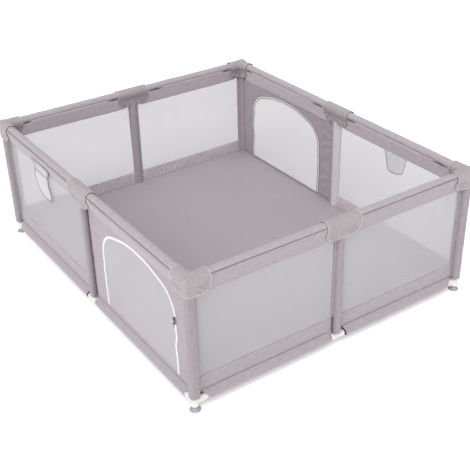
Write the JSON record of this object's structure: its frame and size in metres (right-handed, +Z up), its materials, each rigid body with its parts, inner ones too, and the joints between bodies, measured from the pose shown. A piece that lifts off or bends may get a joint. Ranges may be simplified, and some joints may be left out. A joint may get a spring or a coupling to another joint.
{
  "type": "playpen",
  "caption": "Rectangular knock-down playpen with padded top rails, mesh walls, arched zip doors on the two long sides, hanging mesh pockets and suction feet.",
  "frame": {"origin": "on the floor under the middle of the pen", "axes": "+X along the long sides, +Y from the front long side to the back one, +Z up; the front side's door is on its +X half"},
  "size_m": [1.8, 1.5, 0.637],
  "materials": {
    "frame_steel": "powder-grey drawn tube",
    "joint_plastic": "white moulded plastic",
    "cup_rubber": "translucent grey soft rubber",
    "pad_fabric": "lavender-grey oxford cloth over foam",
    "cap_fabric": "lavender-grey oxford cloth, pale piped edges",
    "sleeve_fabric": "lavender-grey oxford cloth",
    "cover_fabric": "lavender-grey oxford cloth",
    "window_mesh": "white polyester net",
    "door_mesh": "white polyester net",
    "pocket_mesh": "white polyester net with grey binding",
    "zip_chain": "white coil zip",
    "slider_metal": "dark enamelled zinc",
    "floor_fabric": "lavender-grey coated oxford cloth"
  },
  "bodies": {
    "frame": {"bottom_corner_joint_back_left": "joint_plastic", "bottom_corner_joint_back_right": "joint_plastic", "bottom_corner_joint_front_left": "joint_plastic", "bottom_corner_joint_front_right": "joint_plastic", "bottom_mid_joint_back": "joint_plastic", "bottom_mid_joint_front": "joint_plastic", "bottom_mid_joint_left": "joint_plastic", "bottom_mid_joint_right": "joint_plastic", "bottom_rail_tubes": "frame_steel", "corner_cap_back_left": "cap_fabric", "corner_cap_back_right": "cap_fabric", "corner_cap_front_left": "cap_fabric", "corner_cap_front_right": "cap_fabric", "corner_post_back_left": "frame_steel", "corner_post_back_right": "frame_steel", "corner_post_front_left": "frame_steel", "corner_post_front_right": "frame_steel", "cover_back": "cover_fabric", "cover_front": "cover_fabric", "cover_left": "cover_fabric", "cover_right": "cover_fabric", "floor_mat": "floor_fabric", "mesh_back": "window_mesh", "mesh_front": "window_mesh", "mesh_left": "window_mesh", "mesh_right": "window_mesh", "mid_cap_back": "cap_fabric", "mid_cap_front": "cap_fabric", "mid_cap_left": "cap_fabric", "mid_cap_right": "cap_fabric", "mid_post_back": "frame_steel", "mid_post_front": "frame_steel", "mid_post_left": "frame_steel", "mid_post_right": "frame_steel", "post_sleeves": "sleeve_fabric", "rail_pads_back": "pad_fabric", "rail_pads_front": "pad_fabric", "rail_pads_left": "pad_fabric", "rail_pads_right": "pad_fabric", "suction_cup_back_left": "cup_rubber", "suction_cup_back_right": "cup_rubber", "suction_cup_front_left": "cup_rubber", "suction_cup_front_right": "cup_rubber", "top_corner_joints": "joint_plastic", "top_mid_joints": "joint_plastic", "top_rail_tubes": "frame_steel", "zip_chain_back": "zip_chain", "zip_chain_front": "zip_chain"},
    "door_front": {"door_leaf_front": "door_mesh"},
    "upper_slider_front": {"upper_slider_front": "slider_metal"},
    "lower_slider_front": {"lower_slider_front": "slider_metal"},
    "upper_tab_front": {"upper_pull_tab_front": "slider_metal"},
    "lower_tab_front": {"lower_pull_tab_front": "slider_metal"},
    "pocket_front": {"pocket_front": "pocket_mesh"},
    "door_back": {"door_leaf_back": "door_mesh"},
    "upper_slider_back": {"upper_slider_back": "slider_metal"},
    "lower_slider_back": {"lower_slider_back": "slider_metal"},
    "upper_tab_back": {"upper_pull_tab_back": "slider_metal"},
    "lower_tab_back": {"lower_pull_tab_back": "slider_metal"},
    "pocket_back": {"pocket_back": "pocket_mesh"}
  },
  "joints": [
    {"name": "door_front_fold", "type": "hinge", "parent": "frame", "child": "door_front", "pos_m": [0.44, -0.7145, 0.087], "axis": [1, 0, 0], "range_deg": [0, 100]},
    {"name": "lower_slider_front_run", "type": "slide", "parent": "frame", "child": "lower_slider_front", "axis": [0, 0, -1], "range_m": [0, 0.225]},
    {"name": "upper_slider_front_run", "type": "hinge", "parent": "frame", "child": "upper_slider_front", "pos_m": [0.61, -0.72, 0.355], "axis": [0, -1, 0], "range_deg": [0, 60]},
    {"name": "lower_tab_front_swing", "type": "hinge", "parent": "lower_slider_front", "child": "lower_tab_front", "pos_m": [0.7422, -0.7212, 0.343], "axis": [-1, 0, 0], "range_deg": [0, 150]},
    {"name": "upper_tab_front_swing", "type": "hinge", "parent": "upper_slider_front", "child": "upper_tab_front", "pos_m": [0.74174, -0.7212, 0.36656], "axis": [-0.9981, 0, -0.061], "range_deg": [0, 150]},
    {"name": "pocket_front_swing", "type": "hinge", "parent": "frame", "child": "pocket_front", "pos_m": [-0.405, -0.73325, 0.583], "axis": [-1, 0, 0], "range_deg": [0, 60]},
    {"name": "door_back_fold", "type": "hinge", "parent": "frame", "child": "door_back", "pos_m": [-0.44, 0.7145, 0.087], "axis": [-1, 0, 0], "range_deg": [0, 100]},
    {"name": "lower_slider_back_run", "type": "slide", "parent": "frame", "child": "lower_slider_back", "axis": [0, 0, -1], "range_m": [0, 0.225]},
    {"name": "upper_slider_back_run", "type": "hinge", "parent": "frame", "child": "upper_slider_back", "pos_m": [-0.61, 0.72, 0.355], "axis": [0, 1, 0], "range_deg": [0, 60]},
    {"name": "lower_tab_back_swing", "type": "hinge", "parent": "lower_slider_back", "child": "lower_tab_back", "pos_m": [-0.7422, 0.7212, 0.343], "axis": [1, 0, 0], "range_deg": [0, 150]},
    {"name": "upper_tab_back_swing", "type": "hinge", "parent": "upper_slider_back", "child": "upper_tab_back", "pos_m": [-0.74174, 0.7212, 0.36656], "axis": [0.9981, 0, -0.061], "range_deg": [0, 150]},
    {"name": "pocket_back_swing", "type": "hinge", "parent": "frame", "child": "pocket_back", "pos_m": [0.405, 0.73325, 0.583], "axis": [1, 0, 0], "range_deg": [0, 60]}
  ]
}
